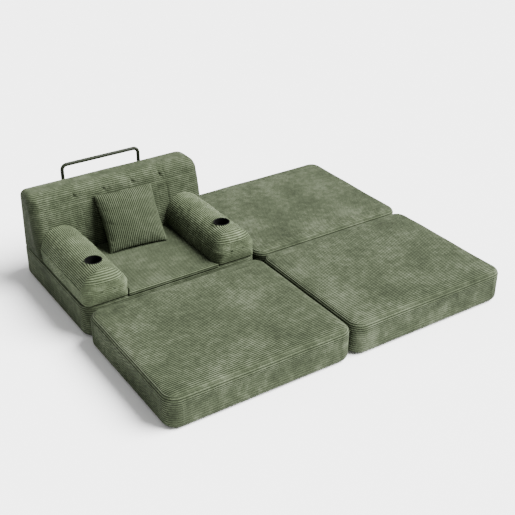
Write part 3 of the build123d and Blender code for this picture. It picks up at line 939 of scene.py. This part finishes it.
@dataclass
class Arm:
    """One round-topped arm, its outline in x and z and its length along y."""

    side: Side
    width: float = 0.256
    height: float = 0.178
    length: float = 0.567
    front: float = 0.005
    collar: float = 0.020

    @property
    def middle(self) -> float:
        """Place of the arm's middle along x."""
        return CHAIR_MID + self.side.value * ARM_REACH

    def cushion(self) -> Cushion:
        """The arm as a padded form whose face looks at the sitter's feet."""
        near = self.length - 0.154
        radius = self.width / 2
        form = PaddedForm(self.width, self.height, self.length, corner=radius, left_corner=radius,
                          low_corner=0.006, edge=0.055, low_edge=0.016, back_edge=0.004,
                          low_back_edge=0.004, draw=0.0, crown=0.004, front_corner=0.020,
                          spacing=(0.005, 0.010, 0.012),
                          zones_h=((near - 0.078, near + 0.078, 0.0045),))
        flank = self.height - radius
        seam = form.edge * math.pi / 2 - 0.008

        def place(local: Array) -> Array:
            x, z, h = local.T
            up = z + self.height / 2
            # The front bellies out, the foot is narrower, and the rear leans like the backrest
            front = ramp(h - form.depth, -0.060, 0.060)
            belly = np.sin(math.pi * np.clip(up / 0.118, 0, 1)) * arch(x / radius)
            narrow = 1 - 0.016 * np.clip(1 - up / 0.03, 0, 1) ** 2
            rear = BACK_FOOT + up * FACE_LEAN - 0.0003
            y = rear - h * (rear - self.front) / form.depth - 0.006 * front * belly
            swell = lumps(np.stack([x, y, up], 1), 7 if self.side is Side.LEFT else 8, 0.16, 0.0012)
            loose = ramp(up, 0, 0.05)
            out = np.stack([x, up - flank], 1)
            out /= np.maximum(np.linalg.norm(out, axis=1), 0.02)[:, None]
            x = x * narrow + out[:, 0] * swell * loose
            up = up + out[:, 1] * swell * loose
            # A mound round the cup, blended softly into the top
            away = np.hypot(x, y - CUP_Y)
            rise = self.height + 0.0003 - 0.020 * ramp(away, CUP_RIM, self.collar)
            lift = np.where((away < CUP_RIM + self.collar) & (up > flank), rise - up, -1.0)
            soft = 0.5 * (lift + np.sqrt(lift ** 2 + 0.0025 ** 2))
            up = up + np.where(lift > -0.004, soft, 0.0)
            return np.stack([x + self.middle, y, up + DECK], 1)

        def weave(local: Array, world: Array, values: dict) -> dict[str, Array]:
            x, up = local[:, 0], local[:, 1] + self.height / 2
            corner = radius * math.pi / 2 + flank
            rise = up + values["excess"] * np.cos(values["phi"])
            past = seam - values["way"]
            # A sewn line crosses the front panel, lower in its middle; below it the ribs are faint
            line = up - 0.121 + 0.013 * arch(x / radius)
            front_clear = 0.38 + 0.42 * ramp(line, -0.034, 0.050)
            side_clear = 0.82 + 0.18 * ramp(up, 0.045, 0.06)
            clear = np.where(past > 0, front_clear, side_clear)
            # Painted shade darkens the arm's sides towards their foot, and a light painted shade lies
            # along the front's sewn line
            foot = 0.55 * (1 - ramp(up, 0.015, 0.065))
            line = np.where(past > -0.02, line, 0.0)
            painted_shade_weight = np.where(past > -0.02, 0.25, foot)
            wide = RIB * (1 + 0.25 * ramp(up, 0.09, 0.04))
            return weave_maps(values["around"] / RIB, (corner - rise) / wide, past, clear, line, painted_shade_weight)

        def held(local: Array, values: dict) -> Array:
            up = local[:, 1] + self.height / 2
            rear = 1 - ramp(local[:, 2], 0, 0.10)
            cup = 1 - ramp(np.hypot(local[:, 0], local[:, 2] - near), 0.055, 0.05)
            return most(0.25, rear, cup, 1 - ramp(up, 0, 0.05))

        name = f"{self.side.label}_arm"
        return Cushion(name, name, form, ARM_CLOTH, place, weave, Settling(0.005), held)

    def build(self) -> Piece:
        """Makes the arm with the pocket for its cup, a boolean with a round upright cutter."""
        piece = self.cushion().build()
        low, high = DECK + self.height - 0.065, DECK + self.height + 0.05
        profile = np.array([[0, low], [0.0428, low], [0.0428, high], [0, high]])
        points, faces = lathe(profile, 96)
        cutter = new_mesh("cutter", points + [self.middle, CUP_Y, 0], faces, smooth=False)
        change = piece.modifiers.new("Pocket", "BOOLEAN")
        change.operation = "DIFFERENCE"
        change.solver = "EXACT"
        change.object = cutter
        view = bpy.context.evaluated_depsgraph_get()
        cut = bpy.data.meshes.new_from_object(piece.evaluated_get(view))
        piece.modifiers.remove(change)
        whole, tool = piece.data, cutter.data
        piece.data = cut
        cut.name = whole.name
        bpy.data.objects.remove(cutter)
        bpy.data.meshes.remove(whole)
        bpy.data.meshes.remove(tool)
        return piece


@dataclass
class Backrest:
    """Leaning backrest with four tufts and a zip low on its rear."""

    height: float = 0.364
    thickness: float = 0.262
    rear_lean: float = math.tan(math.radians(4.1))
    zip_height: float = 0.046
    zip_half: float = 0.276
    tufts: tuple = (-0.267, -0.089, 0.089, 0.267)
    tuft_height: float = 0.310

    def faces_at(self, up: Array) -> tuple[Array, Array]:
        """Places of the front and rear planes at a height above the deck."""
        return BACK_FOOT + up * FACE_LEAN, BACK_FOOT + self.thickness - up * self.rear_lean

    def dimples(self, x: Array, up: Array) -> Array:
        """Depth to which the tufts and the creases that run from them draw the face in."""
        chance = np.random.default_rng(11)
        depth = np.zeros(len(x))
        for spot in self.tufts:
            across, above = x - spot, up - self.tuft_height
            away = np.hypot(across, above)
            depth += 0.0095 / (1 + (away / 0.0085) ** 3) + 0.0026 * np.exp(-((away / 0.030) ** 2))
            for turn, reach in ((chance.uniform(1.7, 2.6), 0.046), (chance.uniform(-0.9, -0.2), 0.036)):
                along = across * math.cos(turn) + above * math.sin(turn)
                beside = -across * math.sin(turn) + above * math.cos(turn) - 3.0 * along ** 2
                fade = ramp(along, 0.004, 0.008) * (1 - ramp(along, 0.012, reach - 0.012))
                depth += 0.0030 * fade * np.exp(-((beside / 0.0035) ** 2))
        return depth

    def cushion(self) -> Cushion:
        """The backrest as a padded form whose face looks forward."""
        tuft_zones = tuple((spot - 0.036, spot + 0.036, 0.0033) for spot in self.tufts)
        middle = self.tuft_height - self.height / 2
        form = PaddedForm(CHAIR_WIDTH, self.height, 0.2, corner=0.083, left_corner=0.036,
                          low_corner=0.020, edge=0.052, low_edge=0.012, back_edge=0.030,
                          low_back_edge=0.012, draw=0.003, crown=0.004,
                          spacing=(0.012, 0.012, 0.012), zones_p=tuft_zones,
                          zones_q=((-0.152, -0.116, 0.006), (middle - 0.036, middle + 0.040, 0.0033)))

        def place(local: Array) -> Array:
            x, z, h = local.T
            up = z + self.height / 2
            front, rear = self.faces_at(up)
            # The two faces keep their rounded edges, and the depth between them is stretched
            blend = np.clip((h - form.back_edge) / (form.depth - form.edge - form.back_edge), 0, 1)
            y = np.where(h < form.back_edge, rear - h,
                         np.where(h > form.depth - form.edge, front + form.depth - h,
                                  (rear - form.back_edge) * (1 - blend)
                                  + (front + form.edge) * blend))
            near = h > form.depth / 2
            zip_bed = 1 - ramp(np.abs(up - self.zip_height), 0.018, 0.016)
            zip_bed = zip_bed * (1 - ramp(np.abs(x), self.zip_half, 0.016))
            y = y - 0.0022 * zip_bed * (h < TINY)
            y = y + np.where(near, self.dimples(x, up), 0)
            wave = lumps(np.stack([x, y, up], 1), 5, 0.22, 0.0016) * ramp(up, 0, 0.06)
            y = y + np.where(near, wave, 0)
            up = up + lumps(np.stack([x, y, up], 1), 6, 0.25, 0.0014) * ramp(up, 0.25, 0.1)
            return np.stack([x + CHAIR_MID, y, up + DECK], 1)

        def weave(local: Array, world: Array, values: dict) -> dict[str, Array]:
            up = local[:, 1] + self.height / 2
            past_edge = world[:, 1] - self.faces_at(up)[0] - form.edge
            top = form.edge * (math.pi / 2 - 1) + np.clip(past_edge, 0, None)
            excess = np.where(values["side"] > 0, top, values["excess"]) * (local[:, 1] > 0)
            along = up + excess * np.cos(values["phi"]) + 0.006 * np.sin(2.1 * local[:, 0])
            fade = ramp(excess * np.cos(values["phi"]), 0.02, 0.05)
            clear = 0.72 * (1 - 0.45 * fade * (values["behind"] < 0))
            # Painted shade over the backrest's two ends, from past the face's edge to short of the back,
            # laid as a crease weight without a sewn line
            end = ramp(values["phi"], 1.1, 0.4) * ramp(values["way"], -0.01, 0.09)
            end = end * ramp(-values["behind"], 0.01, 0.05)
            return weave_maps(along / RIB, up / RIB, values["behind"], clear, 0.0, 0.6 * end)

        def held(local: Array, values: dict) -> Array:
            up = local[:, 1] + self.height / 2
            tied = np.zeros(len(up))
            for spot in self.tufts:
                away = np.hypot(local[:, 0] - spot, up - self.tuft_height)
                tied = np.maximum(tied, 1 - ramp(away, 0.010, 0.025))
            rear = 1 - ramp(local[:, 2], 0.02, 0.06)
            return most(0.15, rear, tied, 1 - ramp(up, 0, 0.06))

        return Cushion("backrest", "backrest", form, BACK_CLOTH, place, weave, Settling(0.006), held)


@dataclass
class Pillow:
    """Throw pillow that leans on the backrest."""

    side: float = 0.343
    thickness: float = 0.112
    foot: tuple = (CHAIR_MID - 0.009, 0.4061, 0.2135)
    turn: float = math.radians(-6)
    roll: float = math.radians(0.5)
    lean: float = math.radians(38)
    count: int = 72

    def shape(self) -> tuple[Array, Array, Array]:
        """Two square sheets sewn at their edge, full in the middle and drawn in along the sides.

        Returns:
            Points, quads and the two numbers of the weave.
        """
        n = self.count
        line = np.sin(np.linspace(-math.pi / 2, math.pi / 2, n + 1))
        u, v = np.meshgrid(line, line, indexing="ij")
        half = self.side / 2
        # The sides' middles are drawn in by this share of half the side
        draw = 0.026 * 2
        x = half * u * (1 - draw * (1 - v ** 2) * np.abs(u) ** 2)
        y = half * v * (1 - draw * (1 - u ** 2) * np.abs(v) ** 2)
        full = ((1 - u ** 2) * (1 - v ** 2)) ** 0.42
        z = self.thickness / 2 * full
        upper = np.stack([x, y, z], -1).reshape(-1, 3)
        lower = np.stack([x, y, -z], -1).reshape(-1, 3)
        index = np.arange((n + 1) ** 2).reshape(n + 1, n + 1)
        edge = np.zeros_like(index, bool)
        edge[0, :] = edge[-1, :] = edge[:, 0] = edge[:, -1] = True
        under = index + (n + 1) ** 2
        under[edge] = index[edge]
        faces = np.concatenate([grid_quads(index), grid_quads(under)[:, ::-1]])
        points = np.concatenate([upper, lower])
        used, packed = np.unique(faces, return_inverse=True)
        flat = np.stack([u, v], -1).reshape(-1, 2) * half
        weave = np.concatenate([flat, flat])[used]
        return points[used], packed.reshape(-1, 4), weave

    def place(self, points: Array) -> Array:
        """Stands the flat pillow on its lower edge, leans it back and turns it."""
        x, y, z = points.T
        x, y = (x * math.cos(self.roll) - y * math.sin(self.roll),
                x * math.sin(self.roll) + y * math.cos(self.roll))
        up, away = y + self.side / 2, z
        cos, sin = math.cos(self.lean), math.sin(self.lean)
        forward = up * sin - away * cos
        rise = up * cos + away * sin
        cos, sin = math.cos(self.turn), math.sin(self.turn)
        spot = np.stack([x * cos - forward * sin, x * sin + forward * cos, rise], 1)
        return spot + self.foot

    def build(self) -> Piece:
        """Makes the pillow."""
        points, faces, weave = self.shape()
        points[:, 2] += lumps(points, 3, 0.11, 0.0016) * ramp(np.abs(points[:, 2]), 0, 0.02)
        world = self.place(points)
        edge = np.abs(weave) / (self.side / 2)
        clear = 1 - 0.75 * ramp(edge[:, 0], 0.90, 0.07)
        maps = weave_maps(weave[:, 0] / RIB, weave[:, 0] / RIB, -AWAY, clear, AWAY, 0.0)
        piece = new_mesh("pillow", world, faces.tolist(), maps)
        Settling(0.006).run(piece, most(0.1, ramp(edge.max(axis=1), 0.94, 0.06)))
        declare(piece, PILLOW_CLOTH, ("pillow_cover", "pillow_filling"), "pillow")
        return piece


def lathe(profile: Array, count: int) -> tuple[Array, list]:
    """Surface of a profile of radius and height turned about the upright axis.

    Args:
        profile: Rows of radius and height, the first and last on the axis.
        count: Points around.

    Returns:
        Points and faces; the rows on the axis are single points with triangles around them.
    """
    turn = np.linspace(0, 2 * math.pi, count, endpoint=False)
    ring = np.stack([np.cos(turn), np.sin(turn)], 1)
    inner = profile[1:-1]
    body = np.concatenate([
        np.einsum("r,nc->rnc", inner[:, 0], ring),
        np.broadcast_to(inner[:, 1][:, None, None], (len(inner), count, 1)),
    ], -1).reshape(-1, 3)
    points = np.concatenate([[[0, 0, profile[0, 1]]], body, [[0, 0, profile[-1, 1]]]])
    index = 1 + np.arange(len(inner) * count).reshape(len(inner), count)
    after = np.roll(index, -1, axis=1)
    first = np.stack([np.zeros(count, int), after[0], index[0]], -1)
    last = np.stack([np.full(count, len(points) - 1), index[-1], after[-1]], -1)
    return points, ring_quads(index).tolist() + first.tolist() + last.tolist()


@dataclass
class CupHolder:
    """Black cup holder in the top of an arm."""

    side: Side
    top: float = 0.3691
    bore: float = 0.040
    wall: float = 0.002
    depth: float = 0.062
    lip: float = 0.003

    def bend(self, radius: float, height: float, size: float, start: int, end: int) -> Array:
        """Six points on an arc of the profile, its ends given in quarter turns from outwards."""
        turn = np.linspace(start, end, 6) * math.pi / 2
        return np.stack([radius + size * np.cos(turn), height + size * np.sin(turn)], 1)

    def build(self) -> Piece:
        """Turns the cup's profile, from the middle of its floor out, up and round its rim."""
        outer, floor = self.bore + self.wall, self.top - self.depth
        low, under_lip = floor - self.wall, self.top - self.lip
        profile = np.concatenate([
            [[0, low]],
            self.bend(outer - 0.006, low + 0.006, 0.006, -1, 0),
            [[outer, under_lip], [CUP_RIM, under_lip]],
            self.bend(CUP_RIM - 0.0012, self.top - 0.0012, 0.0012, 0, 1),
            self.bend(self.bore + 0.001, self.top - 0.001, 0.001, 1, 2),
            self.bend(self.bore - 0.004, floor + 0.004, 0.004, 0, -1),
            [[0, floor]],
        ])
        points, faces = lathe(profile, 64)
        points = points + [CHAIR_MID + self.side.value * ARM_REACH, CUP_Y, 0]
        label = self.side.label
        piece = new_mesh(f"{label}_cup", points, faces)
        return declare(piece, BLACK_PLASTIC, (f"{label}_cup_holder",), f"{label}_arm")


@dataclass
class FrameTube:
    """Bent tube behind the backrest."""

    radius: float = 0.0106
    half: float = 0.240
    y: float = 0.863
    low: float = 0.1953
    top: float = 0.599
    reach: float = 0.262
    bends: tuple = (0.060, 0.030, 0.030, 0.060)

    def path(self) -> Array:
        """Centre line: straight runs joined by arcs that touch them."""
        left, right = CHAIR_MID - self.half, CHAIR_MID + self.half
        front = self.y - self.reach
        tips = np.array([
            (left, front, self.low), (left, self.y, self.low), (left, self.y, self.top),
            (right, self.y, self.top), (right, self.y, self.low), (right, front, self.low),
        ])
        rows = [tips[:1]]
        for number, radius in enumerate(self.bends, 1):
            before = tips[number - 1] - tips[number]
            after = tips[number + 1] - tips[number]
            before, after = before / np.linalg.norm(before), after / np.linalg.norm(after)
            centre = tips[number] + (before + after) * radius
            turn = np.linspace(0, math.pi / 2, 13)[:, None]
            rows.append(centre - after * radius * np.cos(turn) - before * radius * np.sin(turn))
        rows.append(tips[-1:])
        return np.concatenate(rows)

    def build(self) -> Piece:
        """Carries a circle along the centre line, turned with it so that it never twists."""
        path = self.path()
        tangent = np.gradient(path, axis=0)
        tangent /= np.linalg.norm(tangent, axis=1)[:, None]
        normal = np.zeros_like(path)
        side = np.array([1.0, 0.0, 0.0])
        for number, direction in enumerate(tangent):
            side = side - direction * (side @ direction)
            side /= np.linalg.norm(side)
            normal[number] = side
        other = np.cross(tangent, normal)
        turn = np.linspace(0, 2 * math.pi, 24, endpoint=False)
        ring = (normal[:, None] * np.cos(turn)[None, :, None]
                + other[:, None] * np.sin(turn)[None, :, None])
        points = (path[:, None] + ring * self.radius).reshape(-1, 3)
        index = np.arange(len(points)).reshape(len(path), 24)
        rows = ring_quads(index).tolist() + [index[0, ::-1].tolist(), index[-1].tolist()]
        piece = new_mesh("back_tube", points, rows)
        return declare(piece, TUBE_COAT, ("back_frame",), "frame")


@dataclass
class Studio:
    """Pale floor, soft lights and the camera at the photograph's angle."""

    azimuth: float = math.radians(-33.33)
    elevation: float = math.radians(29.68)
    spot: tuple = (-2.4905, -3.7952, 2.7611)
    lens: float = 65.07
    rise: float = -0.0004
    sky: float = 0.66
    sun: float = 19.0
    sun_from: tuple = (0.58, -0.36, 0.73)
    sun_spread: float = math.radians(42)

    def build(self) -> None:
        """Makes the camera, the floor and the lights."""
        scene = bpy.context.scene
        data = bpy.data.cameras.new("camera")
        data.lens = self.lens
        data.sensor_width = 36.0
        data.shift_y = self.rise
        data.clip_end = 100
        back = Vector((math.sin(self.azimuth) * math.cos(self.elevation),
                       -math.cos(self.azimuth) * math.cos(self.elevation),
                       math.sin(self.elevation)))
        scene.camera = self.turned("camera", data, back)
        scene.camera.location = self.spot
        points = np.array([(-30, -30, 0), (30, -30, 0), (30, 30, 0), (-30, 30, 0)], float)
        floor = new_mesh("floor", points, [[0, 1, 2, 3]])
        floor.data.materials.append(self.floor_finish())
        world = bpy.data.worlds.new("studio")
        world.use_nodes = True
        world.node_tree.nodes["Background"].inputs[0].default_value = (1, 1, 1, 1)
        world.node_tree.nodes["Background"].inputs[1].default_value = self.sky
        scene.world = world
        light = bpy.data.lights.new("key", "SUN")
        light.energy = self.sun
        light.angle = self.sun_spread
        self.turned("key", light, Vector(self.sun_from))

    def turned(self, name: str, data: bpy.types.ID, back: Vector) -> Piece:
        """Makes a camera or lamp whose back looks in a direction."""
        thing = bpy.data.objects.new(name, data)
        thing.rotation_mode = "QUATERNION"
        thing.rotation_quaternion = back.to_track_quat("Z", "Y")
        bpy.context.scene.collection.objects.link(thing)
        return thing

    def floor_finish(self) -> bpy.types.Material:
        """Pale floor with the faintest unevenness."""
        recipe = Recipe("floor")
        recipe.feed("Base Color", recipe.mix(recipe.noise(2.0), (0.93, 0.93, 0.93), (0.95, 0.95, 0.95)))
        recipe.feed("Roughness", 0.9)
        return recipe.material


def dress_nodes(frame: dict) -> None:
    for name, node in frame["nodes"].items():
        finish = next((finish for part, finish in NODE_FINISHES if part in name), FOAM)
        node.data.materials.clear()
        node.data.materials.append(finish.material())


def main() -> None:
    """Builds the scene."""
    logging.basicConfig(level=logging.INFO, format="%(message)s")
    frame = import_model()
    Studio().build()
    dress_nodes(frame)
    middle = HALF_GAP + SLAB_DEPTH / 2
    slabs = [
        Slab("base", (CHAIR_MID, middle), CHAIR_WIDTH, 1, crown=0.0, puff=0.0, edge=0.014, seam=0.012),
        Slab("front_pad", (CHAIR_MID, -middle), CHAIR_WIDTH, 2, "front_pad_fold", 0.93),
        Slab("side_pad", (SIDE_MID, -middle), SIDE_WIDTH, 3, "rear_pad_fold", 0.945),
        Slab("rear_pad", (SIDE_MID, middle), SIDE_WIDTH, 4, "rear_pad_fold", 0.945),
    ]
    for slab in slabs:
        slab.build()
    Seat().cushion().build()
    for side in Side:
        Arm(side).build()
        CupHolder(side).build()
    Backrest().cushion().build()
    Pillow().build()
    FrameTube().build()


if __name__ == "__main__":
    main()
